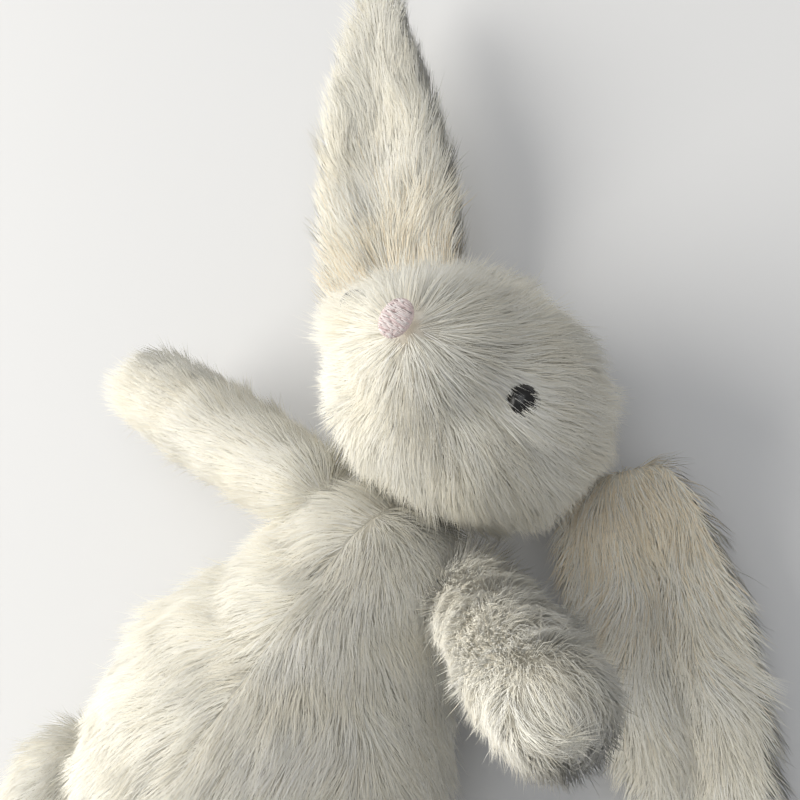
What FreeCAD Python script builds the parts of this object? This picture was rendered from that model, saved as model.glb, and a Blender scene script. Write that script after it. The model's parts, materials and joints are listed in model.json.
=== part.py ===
import math
import os

import FreeCAD
import Part
import Sketcher

# A plush bunny lying on its back, in millimetres.
# +X is the bunny's left, +Y points to its head, +Z is its belly side, and the floor is z = 0.
# The origin is the middle of the flat patch that the back rests on.

doc = FreeCAD.newDocument("plush_bunny")
dims = doc.addObject("Spreadsheet::Sheet", "Dims")
row_number = 0


def dim(alias, value):
    """Put one driving dimension in the sheet, under its alias."""
    global row_number
    row_number += 1
    dims.set("A%d" % row_number, alias)
    dims.set("B%d" % row_number, str(value))
    dims.setAlias("B%d" % row_number, alias)
    return value


# Fabric: woven backing with its pile combed down over it
dim("pile_wall", 6)

# Torso: an egg-shaped belly and a round chest that fills the hollow under the head
TORSO_Z = dim("torso_centre_z", 39.5)
dim("torso_semi_x", 57)
dim("torso_semi_y", 68)
dim("torso_semi_z", 42)
dim("neck_pivot_y", 63)
dim("neck_pivot_z", 41)
dim("chest_radius", 31)
dim("neck_gap", 0.4)

# Head: a ball, a little wider than high, with a round muzzle
HEAD_Y = dim("head_centre_y", 120)
HEAD_Z = dim("head_centre_z", 48)
HEAD_SX = dim("head_semi_x", 47)
HEAD_SY = dim("head_semi_y", 40)
HEAD_SZ = dim("head_semi_z", 46)
dim("muzzle_centre_y", 123)
dim("muzzle_centre_z", 78)
dim("muzzle_radius", 24)
dim("gusset_half_width", 14)

# Eyes and nose
EYE_X = dim("eye_x", 32.5)
EYE_Y = dim("eye_y", 125)
dim("eye_radius", 4.5)
dim("eye_dome_rise", 2)
dim("eye_recess", 2.2)
EYE_INSET = dim("eye_inset", 3.5)
dim("eye_post_radius", 1.5)
dim("eye_post_depth", 8.5)
dim("washer_radius", 6)
dim("washer_thickness", 1)
dim("washer_depth", 7.5)
dim("nose_half_width", 5)
dim("nose_half_height", 6)
dim("nose_thickness", 0.8)

# Ears: padded leaves that turn in their own plane about a knuckle in the head's side seam
EAR_X = dim("ear_pivot_x", 44)
EAR_Y = dim("ear_pivot_y", 123)
EAR_Z = dim("ear_pivot_z", 21)
dim("ear_length", 134)
dim("ear_half_width", 26)
dim("ear_half_thickness", 7)
dim("ear_root_radius", 8)
dim("ear_root_half_height", 4.5)
EAR_LEFT_TURN = dim("ear_left_azimuth", -47)
EAR_LEFT_RISE = dim("ear_left_elevation", -7)
EAR_RIGHT_TURN = dim("ear_right_azimuth", 127)
EAR_RIGHT_RISE = dim("ear_right_elevation", 5)

# Arms: tapered tubes, thicker at the paw
ARM_X = dim("shoulder_x", 36)
ARM_Y = dim("shoulder_y", 73)
ARM_Z = dim("shoulder_z", 48)
dim("arm_root_radius", 12.5)
dim("arm_paw_radius", 17)
dim("arm_length", 73)
dim("armhole_radius", 17)
ARM_LEFT_RISE = dim("arm_left_elevation", 50)
ARM_RIGHT_RISE = dim("arm_right_elevation", -12)
ARM_TURN = dim("arm_sweep_back", -3)

# Legs: tapered tubes with an upright foot and a flat sole
HIP_X = dim("hip_x", 46)
HIP_Y = dim("hip_y", -67)
HIP_Z = dim("hip_z", 25)
dim("leg_root_radius", 14)
dim("leg_ankle_radius", 18.5)
dim("leg_length", 75)
dim("foot_semi_along", 17)
dim("foot_semi_across", 19)
dim("foot_semi_up", 30)
dim("foot_rise", 12)
dim("sole_distance", 88)
dim("sole_thickness", 3)
dim("foot_bean_radius", 9)
LEG_SPLAY = dim("leg_splay", 14)
LEG_DROP = dim("leg_drop", -4)

# Tail, bean pouch, closing seam and label
dim("tail_centre_y", -66)
dim("tail_centre_z", 13.2)
dim("tail_radius", 13)
dim("tail_wall", 5)
dim("pouch_centre_y", -34)
dim("pouch_centre_z", 36)
dim("pouch_semi_x", 24)
dim("pouch_semi_y", 19)
dim("pouch_semi_z", 17)
dim("seam_thread_width", 1.6)
dim("seam_thread_rise", 1.0)
dim("seam_thread_length", 30)
dim("seam_thread_y", -45)
dim("label_length", 14)
dim("label_width", 10)
dim("label_thickness", 0.8)
LABEL_X = dim("label_x", -15)
LABEL_Y = dim("label_y", -66.9)
dim("big", 400)
doc.recompute()

nodes = []


def bind(obj, **expressions):
    """Bind properties of an object to expressions over the sheet, with D. short for Dims."""
    for prop, expression in expressions.items():
        obj.setExpression(prop.replace("__", "."), str(expression).replace("D.", "Dims."))
    return obj


def place(obj, x=None, y="0", z="0"):
    """Bind an object's position, if one is given."""
    if x is None:
        return obj
    return bind(obj, Placement__Base__x=x, Placement__Base__y=y, Placement__Base__z=z)


def ellipsoid(name, semi_x, semi_y, semi_z, at):
    obj = doc.addObject("Part::Ellipsoid", name)
    obj.Angle1 = -90
    obj.Angle2 = 90
    obj.Angle3 = 360
    bind(obj, Radius1=semi_z, Radius2=semi_x, Radius3=semi_y)
    return place(obj, *at)


def sphere(name, radius, at):
    obj = bind(doc.addObject("Part::Sphere", name), Radius=radius)
    return place(obj, *at)


def box(name, length, width, height, at):
    obj = bind(doc.addObject("Part::Box", name), Length=length, Width=width, Height=height)
    return place(obj, *at)


def cylinder(name, radius, height, at):
    obj = bind(doc.addObject("Part::Cylinder", name), Radius=radius, Height=height)
    return place(obj, *at)


def fuse(name, *shapes):
    obj = doc.addObject("Part::MultiFuse", name)
    obj.Shapes = list(shapes)
    return obj


def cut(name, base, *tools):
    """Cut tools from a base, one after another."""
    for count, tool in enumerate(tools, 1):
        obj = doc.addObject("Part::Cut", name if count == len(tools) else "%s_%d" % (name, count))
        obj.Base = base
        obj.Tool = tool
        base = obj
    return base


def common(name, base, tool):
    obj = doc.addObject("Part::Common", name)
    obj.Base = base
    obj.Tool = tool
    return obj


def node(obj, label):
    """Name an object as one of the bunny's pieces."""
    obj.Label = label
    nodes.append(obj)
    return obj


def half(name, axis, sign, at):
    """A big box on one side of the plane axis = at, as a splitting tool."""
    low = {"x": "-D.big / 2", "y": "-D.big / 2", "z": "-D.big / 2"}
    low[axis] = at if sign > 0 else "%s - D.big" % at
    return box(name, "D.big", "D.big", "D.big", (low["x"], low["y"], low["z"]))


def origin_plane(body, role):
    return [f for f in body.Origin.OriginFeatures if f.Role == role][0]


def sketch_on(body, role, name):
    """An empty sketch on one of a body's own origin planes."""
    sketch = body.newObject("Sketcher::SketchObject", name)
    sketch.AttachmentSupport = [(origin_plane(body, role), "")]
    sketch.MapMode = "FlatFace"
    return sketch


def turned(azimuth, elevation, at):
    """A placement whose local +X points along azimuth and elevation, in degrees."""
    turn = FreeCAD.Rotation(FreeCAD.Vector(0, 0, 1), azimuth)
    rise = FreeCAD.Rotation(FreeCAD.Vector(0, 1, 0), -elevation)
    return FreeCAD.Placement(FreeCAD.Vector(*at), turn.multiply(rise))


SIDES = (("left", 1), ("right", -1))

# ---------------------------------------------------------------- tools that several pieces share
armholes = [sphere("armhole_" + side, "D.armhole_radius",
                   ("%d * (D.shoulder_x + 1)" % sign, "D.shoulder_y", "D.shoulder_z + 1"))
            for side, sign in SIDES]
left_of_middle = half("left_of_middle", "x", 1, "0")
right_of_middle = half("right_of_middle", "x", -1, "0")


# ---------------------------------------------------------------- torso
def torso_form(name, inset):
    """The torso's closed form, set in from its pile surface."""
    belly = ellipsoid(name + "_belly", "D.torso_semi_x - " + inset, "D.torso_semi_y - " + inset,
                      "D.torso_semi_z - " + inset, ("0", "0", "D.torso_centre_z"))
    chest = sphere(name + "_chest", "D.chest_radius - " + inset,
                   ("0", "D.neck_pivot_y", "D.neck_pivot_z"))
    return fuse(name, belly, chest)


below_floor = half("below_floor", "z", -1, "0")
torso_outer = torso_form("torso_outer", "0")
torso_inner = torso_form("torso_inner", "D.pile_wall")
torso_room = fuse("torso_room", torso_inner, below_floor, *armholes)
torso_skin = cut("torso_skin", torso_outer, torso_room)
front_half = half("front_half", "z", 1, "D.torso_centre_z")
back_half = half("back_half", "z", -1, "D.torso_centre_z")
torso_front = common("torso_front", torso_skin, front_half)
node(common("belly_left", torso_front, left_of_middle), "belly_left_panel")
node(common("belly_right", torso_front, right_of_middle), "belly_right_panel")
node(common("back", torso_skin, back_half), "back_panel")

pouch = node(ellipsoid("pouch", "D.pouch_semi_x", "D.pouch_semi_y", "D.pouch_semi_z",
                       ("0", "D.pouch_centre_y", "D.pouch_centre_z")), "bean_pouch")
torso_hollows = doc.addObject("Part::Compound", "torso_hollows")
torso_hollows.Links = [*armholes, pouch]
node(cut("torso_fill", torso_inner, torso_hollows), "torso_stuffing")

tail_ball = sphere("tail_ball", "D.tail_radius", ("0", "D.tail_centre_y", "D.tail_centre_z"))
tail_core = sphere("tail_core", "D.tail_radius - D.tail_wall",
                   ("0", "D.tail_centre_y", "D.tail_centre_z"))
node(cut("tail_skin", tail_ball, tail_core, torso_outer), "tail_panel")
node(cut("tail_fill", tail_core, torso_outer), "tail_stuffing")


def closing_seam():
    """A line of hand stitches on the right side seam, where the stuffing went in."""
    raised = ellipsoid("seam_raised", "D.torso_semi_x + D.seam_thread_rise",
                       "D.torso_semi_y + D.seam_thread_rise",
                       "D.torso_semi_z + D.seam_thread_rise", ("0", "0", "D.torso_centre_z"))
    rim = cut("seam_rim", raised, torso_outer)
    strip = box("seam_strip", "D.big / 2", "D.seam_thread_length", "D.seam_thread_width",
                ("-D.big / 2", "D.seam_thread_y", "D.torso_centre_z - D.seam_thread_width / 2"))
    node(common("seam", rim, strip), "closing_seam")


def care_label():
    """A blank fabric loop caught in the seam under the seat."""
    body = doc.addObject("PartDesign::Body", "label_body")
    sketch = sketch_on(body, "XY_Plane", "label_outline")
    length, width = dims.get("label_length"), dims.get("label_width")
    corners = [(0, -width / 2), (length, -width / 2), (length, width / 2), (0, width / 2)]
    for start, end in zip(corners, corners[1:] + corners[:1]):
        sketch.addGeometry(Part.LineSegment(FreeCAD.Vector(*start, 0), FreeCAD.Vector(*end, 0)))
    for edge in range(4):
        sketch.addConstraint(Sketcher.Constraint("Coincident", edge, 2, (edge + 1) % 4, 1))
    for edge, kind in enumerate(("Horizontal", "Vertical", "Horizontal", "Vertical")):
        sketch.addConstraint(Sketcher.Constraint(kind, edge))
    sketch.addConstraint(Sketcher.Constraint("DistanceX", 0, 1, 0, 2, length))
    sketch.setExpression("Constraints[8]", "Dims.label_length")
    sketch.addConstraint(Sketcher.Constraint("DistanceY", 1, 1, 1, 2, width))
    sketch.setExpression("Constraints[9]", "Dims.label_width")
    pad = body.newObject("PartDesign::Pad", "label_pad")
    pad.Profile = sketch
    pad.Midplane = True
    bind(pad, Length="D.label_thickness")
    body.Placement = FreeCAD.Placement(FreeCAD.Vector(LABEL_X, LABEL_Y, TORSO_Z),
                                       FreeCAD.Rotation(FreeCAD.Vector(0, 0, 1), -90))
    node(body, "care_label")


closing_seam()
care_label()


# ---------------------------------------------------------------- head
def head_form(name, inset):
    """The head's closed form, set in from its pile surface."""
    skull = ellipsoid(name + "_skull", "D.head_semi_x - " + inset, "D.head_semi_y - " + inset,
                      "D.head_semi_z - " + inset, ("0", "D.head_centre_y", "D.head_centre_z"))
    muzzle = sphere(name + "_muzzle", "D.muzzle_radius - " + inset,
                    ("0", "D.muzzle_centre_y", "D.muzzle_centre_z"))
    return fuse(name, skull, muzzle)


def eye_placement(sign):
    """A placement just under the skull's pile surface, whose local +Z points straight out."""
    x, y = sign * EYE_X, EYE_Y - HEAD_Y
    z = HEAD_SZ * math.sqrt(1 - (x / HEAD_SX) ** 2 - (y / HEAD_SY) ** 2)
    outward = FreeCAD.Vector(x / HEAD_SX ** 2, y / HEAD_SY ** 2, z / HEAD_SZ ** 2)
    turn = FreeCAD.Rotation(FreeCAD.Vector(0, 0, 1), outward)
    surface = FreeCAD.Placement(FreeCAD.Vector(x, HEAD_Y + y, HEAD_Z + z), turn)
    inward = FreeCAD.Placement(FreeCAD.Vector(0, 0, -EYE_INSET), FreeCAD.Rotation())
    return surface.multiply(inward)


def eye(side, sign):
    """A glossy dome on a post, as one revolved body."""
    radius, rise = dims.get("eye_radius"), dims.get("eye_dome_rise")
    recess, post = dims.get("eye_recess"), dims.get("eye_post_radius")
    depth = dims.get("eye_post_depth")
    body = doc.addObject("PartDesign::Body", "eye_body_" + side)
    sketch = sketch_on(body, "XZ_Plane", "eye_profile_" + side)
    crown = FreeCAD.Vector(0, rise, 0)
    shoulder = FreeCAD.Vector(radius * 0.75, rise * 0.42, 0)
    rim = FreeCAD.Vector(radius, -recess, 0)
    corners = [rim, FreeCAD.Vector(post, -recess, 0), FreeCAD.Vector(post, -depth, 0),
               FreeCAD.Vector(0, -depth, 0), crown]
    sketch.addGeometry(Part.Arc(crown, shoulder, rim))
    for start, end in zip(corners, corners[1:]):
        sketch.addGeometry(Part.LineSegment(start, end))
    turn = body.newObject("PartDesign::Revolution", "eye_turn_" + side)
    turn.Profile = sketch
    turn.ReferenceAxis = (sketch, ["V_Axis"])
    turn.Angle = 360
    body.Placement = eye_placement(sign)
    node(body, "eye_" + side)


def washer(side, sign):
    """The lock washer behind the fabric."""
    hole = cylinder("washer_hole_" + side, "D.eye_post_radius", "D.big / 10", ())
    disc = cylinder("washer_disc_" + side, "D.washer_radius", "D.washer_thickness", ())
    ring = cut("washer_" + side, disc, hole)
    ring.Placement = eye_placement(sign).multiply(
        FreeCAD.Placement(FreeCAD.Vector(0, 0, -dims.get("washer_depth")), FreeCAD.Rotation()))
    node(ring, "eye_washer_" + side)


def eye_hole(side, sign):
    """The room in the fabric and stuffing that the eye, its post and its washer take up."""
    seat = cylinder("eye_seat_" + side, "D.eye_radius + 0.1", "D.big / 20",
                    ("0", "0", "-D.eye_recess"))
    post = cylinder("eye_post_hole_" + side, "D.eye_post_radius", "D.eye_post_depth",
                    ("0", "0", "-D.eye_post_depth"))
    behind = cylinder("washer_room_" + side, "D.washer_radius", "D.washer_thickness + 1",
                      ("0", "0", "-D.washer_depth - 1"))
    room = fuse("eye_room_" + side, seat, post, behind)
    room.Placement = eye_placement(sign)
    return room


def ear_placement(side, sign):
    if side == "left":
        return turned(EAR_LEFT_TURN, EAR_LEFT_RISE, (sign * EAR_X, EAR_Y, EAR_Z))
    return turned(EAR_RIGHT_TURN, EAR_RIGHT_RISE, (sign * EAR_X, EAR_Y, EAR_Z))


def ear_hole(side, sign):
    """The slot in the head's side that the ear's knuckle turns in."""
    slot = cylinder("ear_slot_" + side, "D.ear_root_radius + 0.6",
                    "2 * D.ear_root_half_height + 1.2", ())
    slot.Placement = ear_placement(side, sign).multiply(FreeCAD.Placement(
        FreeCAD.Vector(0, 0, -dims.get("ear_root_half_height") - 0.6), FreeCAD.Rotation()))
    return slot


neck_hollow = sphere("neck_hollow", "D.chest_radius + D.neck_gap",
                     ("0", "D.neck_pivot_y", "D.neck_pivot_z"))
head_holes = [neck_hollow]
for side_name, side_sign in SIDES:
    head_holes.append(eye_hole(side_name, side_sign))
    head_holes.append(ear_hole(side_name, side_sign))
    eye(side_name, side_sign)
    washer(side_name, side_sign)
head_outer = head_form("head_outer", "0")
head_inner = head_form("head_inner", "D.pile_wall")
head_wall = cut("head_wall", head_outer, head_inner)
head_skin = cut("head_skin", head_wall, *head_holes)
left_of_gusset = half("left_of_gusset", "x", 1, "D.gusset_half_width")
right_of_gusset = half("right_of_gusset", "x", -1, "-D.gusset_half_width")
gusset_strip = box("gusset_strip", "2 * D.gusset_half_width", "D.big", "D.big",
                   ("-D.gusset_half_width", "-D.big / 2", "-D.big / 2"))
node(common("head_left", head_skin, left_of_gusset), "head_left_panel")
node(common("head_right", head_skin, right_of_gusset), "head_right_panel")
node(common("head_middle", head_skin, gusset_strip), "head_gusset")
node(cut("head_fill", head_inner, *head_holes), "head_stuffing")


def nose():
    """A thin satin-stitched patch on the front of the muzzle."""
    stitched = sphere("nose_stitched", "D.muzzle_radius + D.nose_thickness",
                      ("0", "D.muzzle_centre_y", "D.muzzle_centre_z"))
    rind = cut("nose_rind", stitched, head_outer)
    outline = ellipsoid("nose_outline", "D.nose_half_width", "D.nose_half_height",
                        "D.nose_half_height", ("0", "D.muzzle_centre_y + 2",
                                               "D.muzzle_centre_z + D.muzzle_radius"))
    node(common("nose", rind, outline), "nose_embroidery")


nose()


# ---------------------------------------------------------------- ears
def ear(side, sign):
    """One ear: a padded leaf with a knuckle at its root, split into two panels."""
    leaf = ellipsoid("leaf_" + side, "D.ear_length / 2 + 1", "D.ear_half_width",
                     "D.ear_half_thickness", ("D.ear_length / 2 - 1", "0", "0"))
    knuckle = cylinder("knuckle_" + side, "D.ear_root_radius", "2 * D.ear_root_half_height",
                       ("0", "0", "-D.ear_root_half_height"))
    whole = fuse("ear_whole_" + side, leaf, knuckle)
    for name, facing in (("inner", 1), ("outer", -1)):
        side_box = half("ear_%s_side_%s" % (name, side), "z", facing, "0")
        panel = common("ear_%s_half_%s" % (name, side), whole, side_box)
        panel.Placement = ear_placement(side, sign)
        node(panel, "ear_%s_%s_panel" % (side, name))


# ---------------------------------------------------------------- arms and legs
def tube(name, root_radius, end_radius, length, inset):
    """A closed tapered tube with round ends, along local +X from its root's centre."""
    root = sphere(name + "_root", "%s - %s" % (root_radius, inset), ())
    end = sphere(name + "_end", "%s - %s" % (end_radius, inset), (length,))
    middle = doc.addObject("Part::Cone", name + "_middle")
    bind(middle, Radius1="%s - %s" % (root_radius, inset),
         Radius2="%s - %s" % (end_radius, inset), Height=length)
    middle.Placement.Rotation = FreeCAD.Rotation(FreeCAD.Vector(0, 1, 0), 90)
    return [root, end, middle]


def split_skin(name, skin, at, labels):
    """Split a limb's skin at its middle plane into an upper and a lower panel."""
    for label, facing in zip(labels, (1, -1)):
        side_box = half("%s_%s_side" % (name, label), "z", facing, "0")
        panel = common("%s_%s" % (name, label), skin, side_box)
        panel.Placement = at
        node(panel, label)


def arm(side, sign):
    sizes = ("D.arm_root_radius", "D.arm_paw_radius", "D.arm_length")
    outer = fuse("arm_outer_" + side, *tube("arm_out_" + side, *sizes, "0"))
    filling = tube("arm_in_" + side, *sizes, "D.pile_wall")
    rise = ARM_LEFT_RISE if side == "left" else ARM_RIGHT_RISE
    azimuth = ARM_TURN if side == "left" else 180 - ARM_TURN
    at = turned(azimuth, rise, (sign * ARM_X, ARM_Y, ARM_Z))
    skin = cut("arm_skin_" + side, outer, fuse("arm_room_" + side, *filling))
    split_skin("arm_" + side, skin, at, ("arm_%s_upper_panel" % side, "arm_%s_lower_panel" % side))
    stuffing = fuse("arm_fill_" + side, *filling)
    stuffing.Placement = at
    node(stuffing, "arm_%s_stuffing" % side)


def leg_form(name, inset):
    """The leg's closed form with its foot, before the sole is cut flat."""
    sizes = ("D.leg_root_radius", "D.leg_ankle_radius", "D.leg_length")
    foot = ellipsoid(name + "_foot", "D.foot_semi_along - " + inset,
                     "D.foot_semi_across - " + inset, "D.foot_semi_up - " + inset,
                     ("D.leg_length + 2", "0", "D.foot_rise"))
    return fuse(name, *tube(name, *sizes, inset), foot)


def leg(side, sign):
    beyond_sole = half("beyond_sole_" + side, "x", 1, "D.sole_distance")
    beyond_fill = half("beyond_fill_" + side, "x", 1, "D.sole_distance - D.sole_thickness")
    before_fill = half("before_fill_" + side, "x", -1, "D.sole_distance - D.sole_thickness")
    outer = cut("leg_outer_" + side, leg_form("leg_out_" + side, "0"), beyond_sole)
    inner = cut("leg_inner_" + side, leg_form("leg_in_" + side, "D.pile_wall"), beyond_fill)
    at = turned(-90 + sign * LEG_SPLAY, LEG_DROP, (sign * HIP_X, HIP_Y, HIP_Z))
    sole = common("sole_" + side, outer, beyond_fill)
    sole.Placement = at
    node(sole, "sole_%s" % side)
    wall = cut("leg_wall_" + side, outer, inner)
    skin = common("leg_skin_" + side, wall, before_fill)
    split_skin("leg_" + side, skin, at, ("leg_%s_upper_panel" % side, "leg_%s_lower_panel" % side))
    bean_room = sphere("bean_room_" + side, "D.foot_bean_radius", ("D.leg_length - 2",))
    stuffing = cut("leg_fill_" + side, inner, bean_room)
    stuffing.Placement = at
    node(stuffing, "leg_%s_stuffing" % side)
    bag = sphere("bean_bag_" + side, "D.foot_bean_radius", ())
    centre = at.multVec(FreeCAD.Vector(dims.get("leg_length") - 2, 0, 0))
    place(bag, centre.x, centre.y, centre.z)
    node(bag, "foot_beans_" + side)


for side_name, side_sign in SIDES:
    ear(side_name, side_sign)
    arm(side_name, side_sign)
    leg(side_name, side_sign)

doc.recompute()


# ---------------------------------------------------------------- check and write
for obj in doc.Objects:
    if "Invalid" in obj.State or "Error" in obj.State:
        raise RuntimeError("%s failed: %s" % (obj.Name, obj.State))
os.makedirs("parts", exist_ok=True)
for obj in nodes:
    shape = obj.Shape
    if shape.isNull() or not shape.isValid() or shape.Volume <= 0:
        raise RuntimeError("%s has no valid solid" % obj.Label)
    size = shape.BoundBox
    print("%-24s %d solid(s) %9.1f mm3, %5.1f x %5.1f x %5.1f mm"
          % (obj.Label, len(shape.Solids), shape.Volume, size.XLength, size.YLength, size.ZLength))
    shape.exportStep("parts/%s.step" % obj.Label)
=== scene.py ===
import json
import math

import bmesh
import bpy
import numpy as np
from mathutils import Matrix, Vector


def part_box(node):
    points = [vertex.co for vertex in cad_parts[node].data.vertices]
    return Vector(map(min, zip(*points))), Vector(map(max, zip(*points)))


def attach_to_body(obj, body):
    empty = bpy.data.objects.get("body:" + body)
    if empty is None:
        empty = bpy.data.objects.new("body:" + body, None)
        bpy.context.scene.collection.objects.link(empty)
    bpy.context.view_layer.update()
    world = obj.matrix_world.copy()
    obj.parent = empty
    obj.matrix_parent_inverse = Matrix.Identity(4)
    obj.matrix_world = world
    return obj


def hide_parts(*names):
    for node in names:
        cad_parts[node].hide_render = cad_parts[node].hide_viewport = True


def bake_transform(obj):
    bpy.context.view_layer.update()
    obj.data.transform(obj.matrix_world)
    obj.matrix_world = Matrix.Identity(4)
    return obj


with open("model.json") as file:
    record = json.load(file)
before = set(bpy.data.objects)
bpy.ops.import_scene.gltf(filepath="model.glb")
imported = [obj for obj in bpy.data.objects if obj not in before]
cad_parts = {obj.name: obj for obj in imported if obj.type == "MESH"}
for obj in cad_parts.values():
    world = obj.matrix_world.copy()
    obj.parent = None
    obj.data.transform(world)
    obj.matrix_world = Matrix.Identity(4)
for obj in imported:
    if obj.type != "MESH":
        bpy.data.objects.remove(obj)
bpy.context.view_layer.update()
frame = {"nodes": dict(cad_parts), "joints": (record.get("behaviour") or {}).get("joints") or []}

# A long-pile plush bunny lying on its back. Everything is in metres, in the CAD model's frame:
# +X is the bunny's left, +Y points to its head, +Z is its belly side.
MM = 0.001
SIDES = (("left", 1), ("right", -1))

# ---------------------------------------------------------------- places, read from the frame
JOINTS = {j["name"]: j for j in frame["joints"]}


def span(*names):
    """The lowest and highest corner of several CAD nodes together."""
    corners = [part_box(n) for n in names]
    low = np.min([np.array(c[0]) for c in corners], axis=0)
    high = np.max([np.array(c[1]) for c in corners], axis=0)
    return low, high


def node_mean(name):
    """The mean of a CAD node's vertices."""
    data = frame["nodes"][name].data
    co = np.zeros(len(data.vertices) * 3)
    data.vertices.foreach_get("co", co)
    return co.reshape(-1, 3).mean(0)


def unit(v):
    v = np.asarray(v, float)
    return v / np.maximum(np.linalg.norm(v, axis=-1, keepdims=True), 1e-12)


torso_low, torso_high = span("belly_left_panel", "belly_right_panel", "back_panel")
head_low, head_high = span("head_left_panel", "head_right_panel", "head_gusset")
nose_low, nose_high = span("nose_embroidery")
NOSE = (nose_low + nose_high) / 2
# The skull, to the pile's surface: a little inside the CAD head, which is one plain ball
HEAD_SEMI = np.array([(head_high[0] - head_low[0]) / 2 - 1.5 * MM, 38 * MM, 46 * MM])
SKULL = np.array([0.5 * MM, head_high[1] - HEAD_SEMI[1] - 2.5 * MM, head_low[2] + HEAD_SEMI[2]])
TORSO = np.array([0, 0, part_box("back_panel")[1].z])
NECK = np.array(JOINTS["neck_nod"]["pos_m"])
SWELL = 1.5 * MM  # the most that the stuffing may push a sewn skin out
PILE_DEPTH = 5.5 * MM + SWELL  # how far the slack skins are set in from the pile's outer surface
CLOTH_THICKNESS = 1.0 * MM
FILLING_INSET = 1.6 * MM  # from the skin's outer face to the filling
HALF_GUSSET = 14 * MM
SOLE_DISTANCE = 81 * MM  # from the hip's pivot, along the leg
FLOOR_GREY = 0.70


# ---------------------------------------------------------------- materials
def principled(name, color, rough=0.8, sheen=0.0, sheen_tint=None):
    mat = bpy.data.materials.new(name)
    mat.use_nodes = True
    shader = mat.node_tree.nodes["Principled BSDF"]
    shader.inputs["Base Color"].default_value = (*color, 1)
    shader.inputs["Roughness"].default_value = rough
    shader.inputs["Sheen Weight"].default_value = sheen
    if sheen_tint:
        shader.inputs["Sheen Tint"].default_value = (*sheen_tint, 1)
    mat.diffuse_color = (*color, 1)
    return mat


def patterned(name, dark, light, scale, rough=(0.7, 0.9), bump=0.3, wave=0.0):
    """Two tones mixed by noise, with uneven roughness, and with noise or weave in the bump."""
    mat = principled(name, [(a + b) / 2 for a, b in zip(dark, light)])
    nodes, links = mat.node_tree.nodes, mat.node_tree.links
    shader = nodes["Principled BSDF"]
    coords = nodes.new("ShaderNodeTexCoord")
    tex = nodes.new("ShaderNodeTexNoise")
    tex.inputs["Scale"].default_value = scale
    tex.inputs["Detail"].default_value = 6
    links.new(coords.outputs["Object"], tex.inputs["Vector"])
    ramp = nodes.new("ShaderNodeValToRGB")
    ramp.color_ramp.elements[0].position = 0.3
    ramp.color_ramp.elements[1].position = 0.7
    ramp.color_ramp.elements[0].color = (*dark, 1)
    ramp.color_ramp.elements[1].color = (*light, 1)
    links.new(tex.outputs["Fac"], ramp.inputs["Fac"])
    links.new(ramp.outputs["Color"], shader.inputs["Base Color"])
    height = tex.outputs["Fac"]
    if wave:
        weave = nodes.new("ShaderNodeTexWave")
        weave.inputs["Scale"].default_value = wave
        weave.inputs["Distortion"].default_value = 1.5
        links.new(coords.outputs["Object"], weave.inputs["Vector"])
        height = weave.outputs["Fac"]
    spread = nodes.new("ShaderNodeMapRange")
    spread.inputs["To Min"].default_value = rough[0]
    spread.inputs["To Max"].default_value = rough[1]
    links.new(tex.outputs["Fac"], spread.inputs["Value"])
    links.new(spread.outputs["Result"], shader.inputs["Roughness"])
    bumps = nodes.new("ShaderNodeBump")
    bumps.inputs["Strength"].default_value = bump
    bumps.inputs["Distance"].default_value = 0.4 * MM
    links.new(height, bumps.inputs["Height"])
    links.new(bumps.outputs["Normal"], shader.inputs["Normal"])
    return mat


BACKING = patterned("plush_backing", (0.60, 0.555, 0.45), (0.80, 0.77, 0.68), 260, wave=900)
FILLING = patterned("polyester_filling", (0.75, 0.75, 0.74), (0.95, 0.95, 0.94), 420)
BEADS = patterned("bead_bag_cloth", (0.55, 0.55, 0.52), (0.78, 0.78, 0.75), 300, wave=1200)
THREAD = patterned("seam_thread", (0.66, 0.63, 0.55), (0.88, 0.86, 0.78), 900)
LABEL = patterned("label_cloth", (0.80, 0.80, 0.78), (0.93, 0.93, 0.92), 500, wave=1600)
EYE = patterned("eye_plastic", (0.004, 0.004, 0.004), (0.014, 0.012, 0.011), 300, rough=(0.16, 0.34),
                bump=0.05)
WASHER = patterned("washer_plastic", (0.72, 0.72, 0.70), (0.82, 0.82, 0.80), 200, rough=(0.35, 0.5),
                   bump=0.05)
NOSE_BASE = patterned("nose_ground", (0.62, 0.46, 0.44), (0.80, 0.68, 0.65), 1400)
NOSE_THREADS = [principled("nose_thread_%d" % i, color, 0.6, sheen=0.2) for i, color in enumerate(
    ((0.84, 0.72, 0.70), (0.86, 0.77, 0.75), (0.88, 0.82, 0.80), (0.78, 0.62, 0.61), (0.30, 0.22, 0.21)))]
NOSE_SHARES = (0.3, 0.28, 0.24, 0.15, 0.03)  # how many of the stitches have each colour
TINTS = [principled("pile_tint_%d" % i, color, 0.75, sheen=0.15, sheen_tint=(1, 0.97, 0.9))
         for i, color in enumerate((
             (0.94, 0.91, 0.80),    # plain cream
             (0.955, 0.935, 0.85),  # pale tips
             (0.93, 0.88, 0.74),    # warmer cream
             (0.97, 0.955, 0.90),   # almost white
             (0.90, 0.845, 0.70),   # shaded cream
             (0.92, 0.80, 0.60)))]  # yellowish, painted warm shade in the crevice at the ear roots


# ---------------------------------------------------------------- mesh helpers
def link(name, mesh):
    obj = bpy.data.objects.new(name, mesh)
    bpy.context.scene.collection.objects.link(obj)
    return obj


def coords_of(mesh):
    co = np.zeros(len(mesh.vertices) * 3)
    mesh.vertices.foreach_get("co", co)
    return co.reshape(-1, 3)


def set_coords(mesh, co):
    mesh.vertices.foreach_set("co", np.ascontiguousarray(co, float).ravel())
    mesh.update()


def normals_of(mesh):
    no = np.zeros(len(mesh.vertices) * 3)
    mesh.vertex_normals.foreach_get("vector", no)
    return no.reshape(-1, 3)


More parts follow.
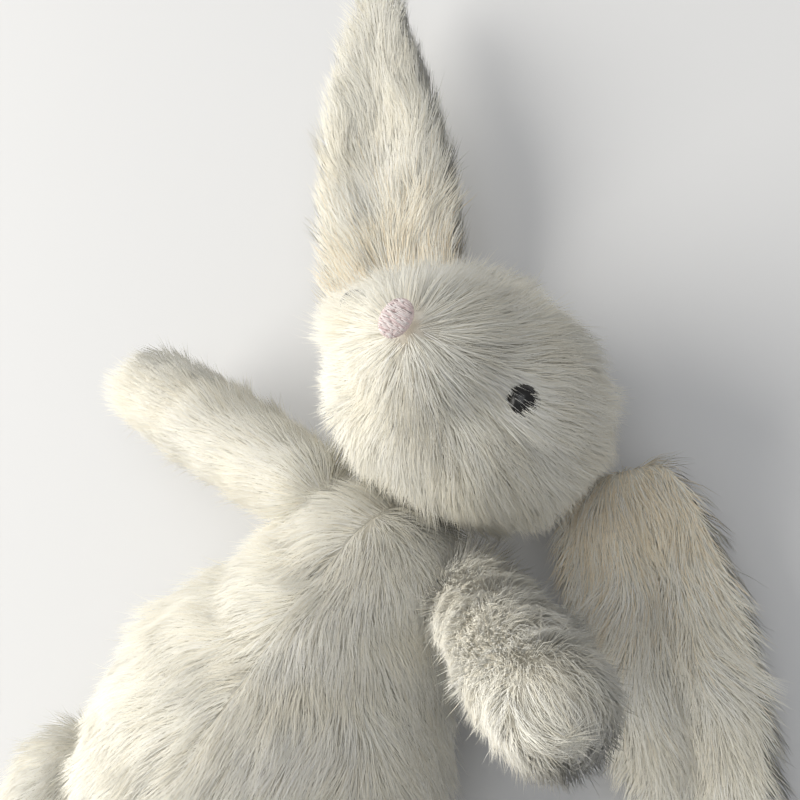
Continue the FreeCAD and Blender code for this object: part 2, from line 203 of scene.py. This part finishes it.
def bake_modifiers(obj):
    """Apply an object's modifiers to its mesh."""
    bpy.context.view_layer.update()
    done = bpy.data.meshes.new_from_object(obj.evaluated_get(bpy.context.evaluated_depsgraph_get()))
    obj.modifiers.clear()
    obj.data = done
    return obj


def smooth_noise(p, scale, seed):
    """Smooth noise from -1 to 1 at points p, as a sum of a few waves whose lengths are near scale."""
    rng = np.random.default_rng(seed)
    total = np.zeros(len(p))
    for _ in range(6):
        direction = unit(rng.normal(size=3))
        length = scale * rng.uniform(0.6, 1.6)
        total += np.sin(p @ direction * (2 * math.pi / length) + rng.uniform(0, 2 * math.pi))
    return total / 3.2


VOXEL = 2.6 * MM


def blob_form(name, blobs, smooth=8):
    """One closed skin round a list of (centre, semi-axes, turn) ellipsoids."""
    bm = bmesh.new()
    for centre, semi, turn in blobs:
        place = Matrix.Translation(Vector(centre)) @ turn.to_4x4() @ Matrix.Diagonal((*semi, 1))
        bmesh.ops.create_icosphere(bm, subdivisions=4, radius=1, matrix=place)
    mesh = bpy.data.meshes.new(name)
    bm.to_mesh(mesh)
    bm.free()
    obj = link(name, mesh)
    remesh = obj.modifiers.new("remesh", "REMESH")
    remesh.mode = "VOXEL"
    remesh.voxel_size = VOXEL
    soften = obj.modifiers.new("soften", "SMOOTH")
    soften.iterations = smooth
    soften.factor = 0.6
    return bake_modifiers(obj)


CLOTH_PRESSURE = 4
CLOTH_QUALITY = 5
CLOTH_STEPS = 20


def stuff(skins):
    """Put pressure in the skins with cloth simulation, in which no point moves further than SWELL.

    The flat ears swell by it. The round skins are full forms already and hardly stretch.
    """
    slack = [coords_of(skin.data) for skin in skins]
    for skin in skins:
        settings = skin.modifiers.new("stuffed", "CLOTH").settings
        settings.use_pressure = True
        settings.uniform_pressure_force = CLOTH_PRESSURE
        settings.effector_weights.gravity = 0
        settings.quality = CLOTH_QUALITY
    for step in range(1, CLOTH_STEPS + 1):
        bpy.context.scene.frame_set(step)
    for skin, co in zip(skins, slack):
        bake_modifiers(skin)
        move = coords_of(skin.data) - co
        far = np.linalg.norm(move, axis=1, keepdims=True)
        set_coords(skin.data, co + move * np.minimum(1, SWELL / np.maximum(far, 1e-9)))
    bpy.context.scene.frame_set(1)


NO_TURN = Matrix.Identity(3)


def axes_from(along, up):
    """A 3x3 turn whose columns are along, across and up."""
    x = Vector(along).normalized()
    z = (Vector(up) - Vector(up).project(x)).normalized()
    y = z.cross(x)
    return Matrix((x, y, z)).transposed()


def ball_chain(start, direction, up, stations):
    """Ellipsoids strung along a line: stations are (distance, along, across, up) sizes."""
    turn = axes_from(direction, up)
    steps = []
    for a, b in zip(stations, stations[1:]):
        count = max(1, round((b[0] - a[0]) / (3 * MM)))
        steps += [np.array(a) + (np.array(b) - np.array(a)) * k / count for k in range(count)]
    steps.append(np.array(stations[-1]))
    return [(np.array(start) + np.array(direction) * s[0], s[1:], turn) for s in steps]


# ---------------------------------------------------------------- forms of the sewn skins
def torso_form():
    semi = np.array([torso_high[0], -torso_low[1], torso_high[2] - TORSO[2]]) - PILE_DEPTH
    blobs = [(TORSO, semi + np.array([0.5, 0, 0]) * MM, NO_TURN),
             (NECK + (0, -18 * MM, 0), np.array([40, 33, 36]) * MM - PILE_DEPTH, NO_TURN),
             (NECK + (0, -2 * MM, 0), np.array([34, 31, 31]) * MM - PILE_DEPTH, NO_TURN)]
    return blob_form("torso_skin", blobs)


def tail_form():
    low, high = span("tail_panel")
    radius = (high[0] - low[0]) / 2 - 4 * MM - SWELL
    return blob_form("tail_skin", [((low + high) / 2, [radius] * 3, NO_TURN)], smooth=2)


def head_form():
    muzzle = np.array([0, NOSE[1] - 2 * MM, nose_high[2] - 25 * MM])
    blobs = [(SKULL, HEAD_SEMI - PILE_DEPTH, NO_TURN),
             (muzzle, np.array([20, 19, 21]) * MM - SWELL, NO_TURN)]
    for _, sign in SIDES:
        cheek = SKULL + np.array([sign * 15, -6, 15]) * MM
        blobs.append((cheek, np.array([23, 25, 23]) * MM - PILE_DEPTH, NO_TURN))
    return blob_form("head_skin", blobs, smooth=14)


def limb_axis(joint, stuffing):
    pivot = np.array(JOINTS[joint]["pos_m"])
    return pivot, unit(node_mean(stuffing) - pivot)


def arm_form(side):
    pivot, along = limb_axis("arm_%s_swing" % side, "arm_%s_stuffing" % side)
    radius = np.array([[-8, 12, 12, 12], [20, 13, 13.5, 13], [50, 13, 14, 13.5], [74, 13, 13, 12.5]]) * MM
    radius[:, 1:] -= SWELL
    return blob_form("arm_%s_skin" % side, ball_chain(pivot, along, (0, 1, 0.2), radius)), pivot, along


def leg_form(side):
    pivot, along = limb_axis("leg_%s_fold" % side, "leg_%s_lower_panel" % side)
    along = unit(along * (1, 1, 0) + np.array([0, 0, -0.07]))
    stations = MM * np.array([[-32, 14, 15, 15], [0, 15, 16, 15], [25, 14, 15, 14], [55, 14, 14, 13],
                              [73, 13, 14, 14]])
    stations[:, 1:] -= SWELL
    chain = ball_chain(pivot, along, (0, 0, 1), stations)
    foot = (pivot + along * 76 * MM + np.array([0, 0, 11 * MM]), np.array([10, 14.5, 24]) * MM - SWELL,
            axes_from(along, (0, 0, 1)))
    outward = math.copysign(1, pivot[0])
    thigh = (pivot + np.array([outward * 6, 19, 13]) * MM, np.array([15.5, 23, 16]) * MM - SWELL, NO_TURN)
    return blob_form("leg_%s_skin" % side, chain + [foot, thigh]), pivot, along


def ear_form(side):
    """A padded leaf, widest before its middle, with a shallow valley along its inner face."""
    joint = JOINTS["ear_%s_swing" % side]
    pivot, normal = np.array(joint["pos_m"]), unit(joint["axis"])
    along = unit(node_mean("ear_%s_inner_panel" % side) - pivot)
    along = unit(along - normal * (along @ normal))
    across = np.cross(normal, along)
    length, width, thick = 131 * MM, 19.5 * MM, 4.0 * MM
    # how soon the near and the far edge reach their full width, from the root, and the valley's depth
    near_edge, far_edge, valley = {"left": (0.62, 0.92, 5.2 * MM), "right": (0.72, 0.72, 1.2 * MM)}[side]
    rows, columns = 56, 28
    bm = bmesh.new()
    grid = {}
    for face in (1, -1):
        for i in range(rows + 1):
            u = i / rows
            for k in range(columns + 1):
                v = -math.cos(math.pi * k / columns)
                fullness = near_edge + (far_edge - near_edge) * (v + 1) / 2
                half = 9 * MM * (1 - u) ** 3 + width * math.sin(math.pi * min(1, u ** fullness)) ** 0.7
                edge = k in (0, columns) or i == rows
                if face == -1 and edge:
                    grid[face, i, k] = grid[1, i, k]
                    continue
                crown = math.sqrt(max(0, 1 - v * v)) * (0.55 + 0.45 * math.sin(math.pi * u))
                height = face * thick * crown * math.sqrt(max(0, 1 - u ** 6))
                if face == 1:
                    height -= valley * math.exp(-(v / 0.2) ** 2) * (1 - u) ** 0.6 * min(1, u * 4)
                curl = 5 * MM * (v * v - 0.4) * math.sin(math.pi * u)
                spot = pivot + along * (u * length - 3 * MM) + across * half * v + normal * (height + curl)
                grid[face, i, k] = bm.verts.new(spot)
    for face in (1, -1):
        for i in range(rows):
            for k in range(columns):
                corners = [grid[face, i, k], grid[face, i + 1, k], grid[face, i + 1, k + 1],
                           grid[face, i, k + 1]]
                bm.faces.new(corners if face == -1 else corners[::-1])
    bmesh.ops.contextual_create(bm, geom=[e for e in bm.edges if e.is_boundary])
    bmesh.ops.remove_doubles(bm, verts=bm.verts, dist=0.05 * MM)
    bmesh.ops.recalc_face_normals(bm, faces=bm.faces)
    mesh = bpy.data.meshes.new("ear_%s_skin" % side)
    bm.to_mesh(mesh)
    bm.free()
    return link("ear_%s_skin" % side, mesh), pivot, along, across, normal


# ---------------------------------------------------------------- panels and filling
def cut_piece(source, name, planes):
    """A copy of source, keeping the side of each (point, direction) plane that direction points to."""
    bm = bmesh.new()
    bm.from_mesh(source.data)
    for point, direction in planes:
        geometry = bm.verts[:] + bm.edges[:] + bm.faces[:]
        bmesh.ops.bisect_plane(bm, geom=geometry, plane_co=Vector(point), plane_no=Vector(direction),
                               clear_inner=True)
    mesh = bpy.data.meshes.new(name)
    bm.to_mesh(mesh)
    bm.free()
    return link(name, mesh)


def panel(source, node_name, planes):
    """A sewn panel of the skin: its outer face is kept apart for the pile, and the piece gets thickness."""
    piece = cut_piece(source, node_name + "_cloth", planes)
    outer = piece.data.copy()
    solid = piece.modifiers.new("solid", "SOLIDIFY")
    solid.thickness = CLOTH_THICKNESS
    solid.offset = -1
    bake_modifiers(piece)
    piece.data.polygons.foreach_set("use_smooth", [True] * len(piece.data.polygons))
    piece.data.materials.append(BACKING)
    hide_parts(node_name)
    return piece, outer


def shrunk(source, name, inset, lumps, seed):
    """The filling: a copy of the skin set inward, with the lumps of teased fibre."""
    mesh = source.data.copy()
    mesh.name = name
    co, no = coords_of(mesh), normals_of(mesh)
    depth = inset + lumps * smooth_noise(co, 9 * MM, seed)
    set_coords(mesh, co - no * depth[:, None])
    piece = link(name, mesh)
    mesh.polygons.foreach_set("use_smooth", [True] * len(mesh.polygons))
    mesh.materials.clear()
    mesh.materials.append(FILLING)
    return piece


# ---------------------------------------------------------------- the pile
def sample(mesh, density, rng):
    """Random points on a mesh, so many to the square metre, with their normals."""
    mesh.calc_loop_triangles()
    tri = np.zeros(len(mesh.loop_triangles) * 3, np.int32)
    mesh.loop_triangles.foreach_get("vertices", tri)
    tri = tri.reshape(-1, 3)
    co, no = coords_of(mesh), normals_of(mesh)
    a, b, c = co[tri[:, 0]], co[tri[:, 1]], co[tri[:, 2]]
    area = np.linalg.norm(np.cross(b - a, c - a), axis=1) / 2
    count = int(area.sum() * density)
    pick = rng.choice(len(tri), count, p=area / area.sum())
    s, t = rng.random(count), rng.random(count)
    over = s + t > 1
    s[over], t[over] = 1 - s[over], 1 - t[over]
    s, t = s[:, None], t[:, None]
    w = 1 - s - t
    chosen = tri[pick]
    points = co[chosen[:, 0]] * w + co[chosen[:, 1]] * s + co[chosen[:, 2]] * t
    normals = unit(no[chosen[:, 0]] * w + no[chosen[:, 1]] * s + no[chosen[:, 2]] * t)
    return points, normals


def nearest(points, centres):
    """The index of the nearest centre to each point."""
    result = np.zeros(len(points), np.int32)
    for start in range(0, len(points), 2000):
        block = points[start:start + 2000]
        gaps = ((block[:, None, :] - centres[None, :, :]) ** 2).sum(2)
        result[start:start + 2000] = gaps.argmin(1)
    return result


def strand_mesh(name, curves, width, tint, facing=None):
    """Closed three-sided tapered strands along curves, an array of (strand, ring, xyz).

    Where facing is given, the strands are shaded mostly as the surface under them, as soft pile looks.
    """
    strands, rings = curves.shape[:2]
    tangent = unit(curves[:, -1] - curves[:, 0])
    side = unit(np.cross(tangent, unit(tangent[:, [1, 2, 0]] + 0.3)))
    other = np.cross(tangent, side)
    taper = np.linspace(1, 0.55, rings - 1)
    verts = np.zeros((strands, (rings - 1) * 3 + 1, 3))
    radial = np.zeros(verts.shape)
    for ring in range(rings - 1):
        for corner in range(3):
            angle = 2 * math.pi * corner / 3
            reach = width[:, None] * taper[ring] / 2
            offset = side * math.cos(angle) + other * math.sin(angle)
            verts[:, ring * 3 + corner] = curves[:, ring] + offset * reach
            radial[:, ring * 3 + corner] = offset
    verts[:, -1] = curves[:, -1]
    radial[:, -1] = tangent
    loops, sizes = [2, 1, 0], [3]
    for ring in range(rings - 2):
        for corner in range(3):
            nxt = (corner + 1) % 3
            loops += [ring * 3 + corner, ring * 3 + nxt, ring * 3 + 3 + nxt, ring * 3 + 3 + corner]
            sizes.append(4)
    last = (rings - 2) * 3
    for corner in range(3):
        loops += [last + corner, last + (corner + 1) % 3, last + 3]
        sizes.append(3)
    per_strand = verts.shape[1]
    loops, sizes = np.array(loops), np.array(sizes)
    all_loops = (loops[None, :] + np.arange(strands)[:, None] * per_strand).ravel()
    all_sizes = np.tile(sizes, strands)
    starts = np.concatenate([[0], np.cumsum(all_sizes)[:-1]])
    mesh = bpy.data.meshes.new(name)
    mesh.vertices.add(strands * per_strand)
    mesh.vertices.foreach_set("co", verts.ravel())
    mesh.loops.add(len(all_loops))
    mesh.loops.foreach_set("vertex_index", all_loops.astype(np.int32))
    mesh.polygons.add(len(all_sizes))
    mesh.polygons.foreach_set("loop_start", starts.astype(np.int32))
    mesh.polygons.foreach_set("use_smooth", np.ones(len(all_sizes), bool))
    mesh.polygons.foreach_set("material_index", np.repeat(tint, len(sizes)).astype(np.int32))
    mesh.update(calc_edges=True)
    if facing is not None:
        shading = unit(facing[:, None, :] * SOFTNESS + radial * (1 - SOFTNESS))
        mesh.normals_split_custom_set_from_vertices(shading.reshape(-1, 3))
    return mesh


SOFTNESS = 0.72  # how far the pile is shaded as one surface, from 0 to 1
DENSITY = 1.9 * 1e6  # strands to the square metre


def pile(name, mesh, comb, length=13 * MM, lift=0.36, seed=1, keep=None, painted_root_shade=None, density=1.0, mess=1.0):
    """The pile of one panel: strands that leave the backing steeply and lie over along comb."""
    rng = np.random.default_rng(seed)
    root, normal = sample(mesh, DENSITY * density, rng)
    if keep is not None:
        kept = keep(root)
        root, normal = root[kept], normal[kept]
    count = len(root)
    flow = comb(root, normal)
    swirl = 0.4 * smooth_noise(root, 30 * MM, seed + 5) + 0.2 * smooth_noise(root, 11 * MM, seed + 6)
    swirl = swirl * mess + rng.normal(0, 0.16, count)
    flow = unit(flow - normal * (flow * normal).sum(1)[:, None])
    flow = flow * np.cos(swirl)[:, None] + np.cross(normal, flow) * np.sin(swirl)[:, None]
    reach = length * (1 + 0.2 * smooth_noise(root, 14 * MM, seed + 7) + rng.normal(0, 0.1, count))
    rise = lift * (1 + 0.5 * smooth_noise(root, 16 * MM, seed + 8)) + rng.normal(0, 0.05, count)
    rise = np.clip(rise, 0.12, 0.75)
    stray = rng.random(count) < 0.05
    rise[stray] += 0.22
    middle = root + (normal * 0.30 + flow * 0.30) * reach[:, None] * (0.7 + rise)[:, None]
    tip = root + (normal * rise[:, None] + flow * np.sqrt(np.maximum(0.2, 1 - rise ** 2))[:, None] * 0.92) \
        * reach[:, None]
    leaders = rng.choice(count, max(1, count // 24), replace=False)
    leader = leaders[nearest(root, root[leaders])]
    pull = rng.uniform(0.05, 0.5, count)[:, None]
    pull[stray] = 0
    tip = tip + (tip[leader] - tip) * pull
    middle = middle + (middle[leader] - middle) * pull * 0.3
    steps = np.linspace(0, 1, 3)
    curves = np.stack([root * (1 - s) ** 2 + middle * 2 * s * (1 - s) + tip * s * s for s in steps], axis=1)
    curves[:, :, 2] = np.maximum(curves[:, :, 2], 0.35 * MM)
    width = rng.uniform(0.16, 0.3, count) * MM
    shade = 0.5 * smooth_noise(root, 22 * MM, seed + 9) + rng.normal(0, 0.55, count)
    tint = np.select([shade > 1.0, shade > 0.35, shade > -0.45, shade > -1.0], [3, 1, 0, 2], 4)
    # Tint 5 is painted shade: the strands that the given function picks take the yellowish tint
    if painted_root_shade is not None:
        tint = np.where(rng.random(count) < painted_root_shade(root), 5, tint)
    obj = link(name, strand_mesh(name, curves, width, tint, facing=normal))
    for material in TINTS:
        obj.data.materials.append(material)
    return obj


def toward(direction):
    return lambda root, normal: np.tile(np.asarray(direction, float), (len(root), 1))


def away_from(point):
    return lambda root, normal: unit(root - np.asarray(point))


def attach(pieces, body):
    for piece in pieces:
        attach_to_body(piece, body)


def bend(pieces):
    for piece in pieces:
        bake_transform(piece)


# ---------------------------------------------------------------- torso and tail
def torso():
    skin = SKINS["torso"]
    seam_front, seam_side = (0, 0, 0), (0, 0, TORSO[2])
    pieces = []

    def comb(root, normal):
        down = np.tile([0.0, -1.0, 0.0], (len(root), 1))
        down[:, 0] += np.sign(root[:, 0]) * 0.25
        return down + np.array([0, 0, -0.25])

    layout = (("belly_left_panel", [(seam_front, (1, 0, 0)), (seam_side, (0, 0, 1))]),
              ("belly_right_panel", [(seam_front, (-1, 0, 0)), (seam_side, (0, 0, 1))]),
              ("back_panel", [(seam_side, (0, 0, -1))]))
    for seed, (name, planes) in enumerate(layout):
        cloth, outer = panel(skin, name, planes)
        fur = pile(name + "_pile", outer, comb, seed=10 + 20 * seed)
        pieces += [cloth, fur]
    filling = shrunk(skin, "torso_filling", FILLING_INSET, 0.3 * MM, 3)
    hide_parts("torso_stuffing")
    pieces.append(filling)
    attach(pieces, "torso")
    bpy.data.objects.remove(skin)


def tail():
    skin = SKINS["tail"]
    middle = np.mean(span("tail_panel"), axis=0)
    cloth, outer = panel(skin, "tail_panel", [])
    parting = middle + np.array([0, 6, 0]) * MM
    fur = pile("tail_panel_pile", outer, away_from(parting), length=9 * MM, lift=0.6, seed=90)
    filling = shrunk(skin, "tail_filling", FILLING_INSET, 0.2 * MM, 4)
    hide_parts("tail_stuffing")
    attach([cloth, fur, filling], "torso")
    bpy.data.objects.remove(skin)


# ---------------------------------------------------------------- head
def head():
    skin = SKINS["head"]
    eyes = [np.mean(span("eye_" + side), axis=0) + np.array([sign, 0, 1.5]) * MM for side, sign in SIDES]
    nose_top = np.array([NOSE[0], NOSE[1], nose_high[2]])

    def comb(root, normal):
        flow = unit(root - (nose_top - np.array([0, 0, 3 * MM])))
        gap = root - eyes[0]
        near = np.exp(-(np.linalg.norm(gap, axis=1) / (8 * MM)) ** 2)[:, None]
        return flow + near * 0.8 * unit(gap)

    def bare(root):
        kept = np.hypot(root[:, 0] - NOSE[0], (root[:, 1] - NOSE[1]) * 0.85) > 3.0 * MM
        kept |= root[:, 2] < NOSE[2] - 12 * MM
        for spot, radius in zip(eyes, (3.2 * MM, 0)):
            kept &= np.linalg.norm(root - spot, axis=1) > radius
        return kept

    def brow(spot, reach):
        """Where the brow tuft of one eye grows: a patch just noseward of it."""
        centre = spot + unit(nose_top - spot) * 7.5 * MM
        return lambda root: np.linalg.norm((root - centre) * (1, 1, 0.6), axis=1) < reach

    pieces = []
    layout = (("head_left_panel", [((HALF_GUSSET, 0, 0), (1, 0, 0))]),
              ("head_right_panel", [((-HALF_GUSSET, 0, 0), (-1, 0, 0))]),
              ("head_gusset", [((HALF_GUSSET, 0, 0), (-1, 0, 0)), ((-HALF_GUSSET, 0, 0), (1, 0, 0))]))
    for seed, (name, planes) in enumerate(layout):
        cloth, outer = panel(skin, name, planes)
        fur = pile(name + "_pile", outer, comb, seed=110 + 20 * seed, keep=bare, length=12.5 * MM)
        pieces += [cloth, fur]
    for (side, _), spot, reach, lift in zip(SIDES, eyes, (6.5 * MM, 11 * MM), (0.55, 0.74)):
        pieces.append(pile("brow_%s_pile" % side, skin.data, toward(spot - nose_top), length=15 * MM,
                           lift=lift, seed=171, keep=brow(spot, reach), mess=1.5, density=3.0))
    filling = shrunk(skin, "head_filling", FILLING_INSET, 0.3 * MM, 5)
    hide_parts("head_stuffing")
    pieces.append(filling)
    bend(pieces)
    bpy.data.objects.remove(skin)


NOSE_BULGE = 1.4 * MM
ROW_STEP = 0.042  # from one row of stitches to the next, as a share of the nose's half height
STITCH_WIDTH = 0.42 * MM


def nose():
    """Satin stitches across a low pad, in several pinks."""
    centre = np.array([NOSE[0], NOSE[1], nose_high[2]])
    half_wide, half_high = (nose_high[0] - nose_low[0]) * 0.44, (nose_high[1] - nose_low[1]) * 0.44
    bm = bmesh.new()
    place = Matrix.Translation(Vector(centre - np.array([0, 0, NOSE_BULGE])))
    size = Matrix.Diagonal((half_wide, half_high, NOSE_BULGE, 1))
    bmesh.ops.create_uvsphere(bm, u_segments=40, v_segments=20, radius=1, matrix=place @ size)
    mesh = bpy.data.meshes.new("nose_pad")
    bm.to_mesh(mesh)
    bm.free()
    pad = link("nose_pad", mesh)
    mesh.polygons.foreach_set("use_smooth", [True] * len(mesh.polygons))
    mesh.materials.append(NOSE_BASE)
    rng = np.random.default_rng(7)
    curves = []
    for row in np.arange(-0.94, 0.95, ROW_STEP):
        reach = half_wide * math.sqrt(1 - row * row)
        cuts = np.sort(rng.uniform(-0.8, 0.8, 2)) * reach
        stops = [-reach, *cuts, reach]
        for a, b in zip(stops, stops[1:]):
            if b - a < 0.5 * MM:
                continue
            x = np.linspace(a, b, 6)
            y = np.full(6, row * half_high) + rng.normal(0, 0.06 * MM)
            over = np.clip(1 - (x / half_wide) ** 2 - row ** 2, 0, 1)
            z = NOSE_BULGE * (np.sqrt(over) - 1) + 0.25 * MM * np.sin(np.linspace(0.15, math.pi - 0.15, 6))
            curves.append(centre + np.stack([x, y, z], axis=1))
    curves = np.array(curves)
    width = np.full(len(curves), STITCH_WIDTH)
    thread = rng.choice(len(NOSE_THREADS), len(curves), p=NOSE_SHARES)
    stitches = link("nose_stitches", strand_mesh("nose_stitches", curves, width, thread))
    for material in NOSE_THREADS:
        stitches.data.materials.append(material)
    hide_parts("nose_embroidery")
    attach([pad, stitches], "head")


# ---------------------------------------------------------------- limbs
def ear(side, seed):
    skin, pivot, along, across, normal = SKINS["ear_" + side]

    def comb(root, facing):
        sideways = (root - pivot) @ across
        return along + across * (np.clip(sideways / (16 * MM), -1, 1) * 0.45)[:, None]

    # Painted warm shade in the crevice where the ear meets the head, fading along the ear
    def painted_root_shade(root):
        return 0.6 * np.exp(-((root - pivot) @ along / (34 * MM)) ** 2)

    pieces = []
    for name, sign in (("inner", 1), ("outer", -1)):
        node_name = "ear_%s_%s_panel" % (side, name)
        cloth, outer = panel(skin, node_name, [(pivot, tuple(normal * sign))])
        fur = pile(node_name + "_pile", outer, comb, seed=seed, painted_root_shade=painted_root_shade, length=12 * MM, lift=0.3)
        pieces += [cloth, fur]
        seed += 20
    bend(pieces)
    bpy.data.objects.remove(skin)


def arm(side, seed):
    skin, pivot, along = SKINS["arm_" + side]
    joint = "arm_%s_swing" % side
    split = np.cross(along, JOINTS[joint]["axis"])
    split = unit(split * np.sign(split[2] + 1e-9))
    pieces = []
    for name, sign in (("upper", 1), ("lower", -1)):
        node_name = "arm_%s_%s_panel" % (side, name)
        cloth, outer = panel(skin, node_name, [(pivot, tuple(split * sign))])
        fur = pile(node_name + "_pile", outer, toward(along), seed=seed, length=11 * MM, mess=0.6)
        pieces += [cloth, fur]
        seed += 20
    filling = shrunk(skin, "arm_%s_filling" % side, FILLING_INSET, 0.2 * MM, seed)
    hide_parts("arm_%s_stuffing" % side)
    pieces.append(filling)
    bend(pieces)
    bpy.data.objects.remove(skin)


def leg(side, seed):
    skin, pivot, along = SKINS["leg_" + side]
    sole_plane = pivot + along * SOLE_DISTANCE
    pieces = []
    for name, sign in (("upper", 1), ("lower", -1)):
        node_name = "leg_%s_%s_panel" % (side, name)
        cloth, outer = panel(skin, node_name, [(pivot, (0, 0, sign)), (sole_plane, tuple(-along))])
        fur = pile(node_name + "_pile", outer, toward(along), seed=seed, length=12 * MM)
        pieces += [cloth, fur]
        seed += 20
    cloth, outer = panel(skin, "sole_" + side, [(sole_plane, tuple(along))])
    fur = pile("sole_%s_pile" % side, outer, away_from(sole_plane), seed=seed, length=7 * MM, lift=0.4)
    pieces += [cloth, fur]
    filling = shrunk(skin, "leg_%s_filling" % side, FILLING_INSET, 0.2 * MM, seed + 9)
    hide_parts("leg_%s_stuffing" % side)
    pieces.append(filling)
    bend(pieces)
    bpy.data.objects.remove(skin)


def cad_finishes():
    """The hard and hidden pieces keep their CAD shapes and get their own materials."""
    finishes = {"bean_pouch": BEADS, "closing_seam": THREAD, "care_label": LABEL}
    for side, _ in SIDES:
        finishes["eye_" + side] = EYE
        finishes["eye_washer_" + side] = WASHER
        finishes["foot_beans_" + side] = BEADS
    for name, material in finishes.items():
        data = frame["nodes"][name].data
        data.materials.clear()
        data.materials.append(material)
        data.polygons.foreach_set("use_smooth", [True] * len(data.polygons))


# ---------------------------------------------------------------- floor, light and camera
def stage():
    bm = bmesh.new()
    bmesh.ops.create_grid(bm, x_segments=2, y_segments=2, size=3)
    mesh = bpy.data.meshes.new("floor")
    bm.to_mesh(mesh)
    bm.free()
    floor = link("floor", mesh)
    mesh.materials.append(principled("floor_paint", (FLOOR_GREY,) * 3, 0.9))


AZIMUTH, ELEVATION, ROLL = math.radians(89.4), math.radians(60.2), math.radians(58.0)
DISTANCE = 0.290
TARGET = Vector((0.0125, 0.1086, 0.1009))
LENS, SENSOR = 55.1, 36.0


def camera_axes():
    """The rolled camera's right, up and back directions."""
    back = Vector((math.sin(AZIMUTH) * math.cos(ELEVATION), -math.cos(AZIMUTH) * math.cos(ELEVATION),
                   math.sin(ELEVATION)))
    right = (-back).cross(Vector((0, 0, 1))).normalized()
    up = right.cross(-back)
    rolled_right = right * math.cos(ROLL) - up * math.sin(ROLL)
    rolled_up = right * math.sin(ROLL) + up * math.cos(ROLL)
    return rolled_right, rolled_up, back


def camera():
    right, up, back = camera_axes()
    data = bpy.data.cameras.new("camera")
    data.lens, data.sensor_width = LENS, SENSOR
    data.clip_start, data.clip_end = 0.01, 20
    obj = bpy.data.objects.new("camera", data)
    bpy.context.scene.collection.objects.link(obj)
    turn = Matrix((right, up, back)).transposed().to_4x4()
    obj.matrix_world = Matrix.Translation(TARGET + back * DISTANCE) @ turn
    bpy.context.scene.camera = obj


KEY_WATTS = 35
FILL_WATTS = 8
SKY_STRENGTH = 0.38


def area_light(name, direction, distance, size, power, color):
    data = bpy.data.lights.new(name, "AREA")
    data.shape = "DISK"
    data.size, data.energy, data.color = size, power, color
    obj = bpy.data.objects.new(name, data)
    bpy.context.scene.collection.objects.link(obj)
    direction = Vector(direction).normalized()
    obj.location = Vector((0, 0.05, 0.05)) + direction * distance
    obj.rotation_euler = direction.to_track_quat("Z", "Y").to_euler()


def lights():
    right, up, back = camera_axes()
    area_light("key", -right + up * 0.1 + back * 0.15, 1.6, 1.8, KEY_WATTS, (1, 0.97, 0.91))
    area_light("fill", -right * 0.1 + up * 0.3 + back, 1.8, 1.6, FILL_WATTS, (0.97, 0.98, 1))
    world = bpy.data.worlds.new("studio")
    world.use_nodes = True
    sky = world.node_tree.nodes["Background"]
    sky.inputs["Color"].default_value = (0.95, 0.97, 1, 1)
    sky.inputs["Strength"].default_value = SKY_STRENGTH
    bpy.context.scene.world = world
    bpy.context.scene.view_settings.view_transform = "Standard"


stage()
camera()
lights()
SKINS = {"torso": torso_form(), "tail": tail_form(), "head": head_form()}
for side_name, _ in SIDES:
    SKINS["ear_" + side_name] = ear_form(side_name)
    SKINS["arm_" + side_name] = arm_form(side_name)
    SKINS["leg_" + side_name] = leg_form(side_name)
stuff([form[0] if isinstance(form, tuple) else form for form in SKINS.values()])
torso()
tail()
head()
nose()
for index, (side_name, _) in enumerate(SIDES):
    ear(side_name, 300 + 100 * index)
    arm(side_name, 500 + 100 * index)
    leg(side_name, 700 + 100 * index)
cad_finishes()
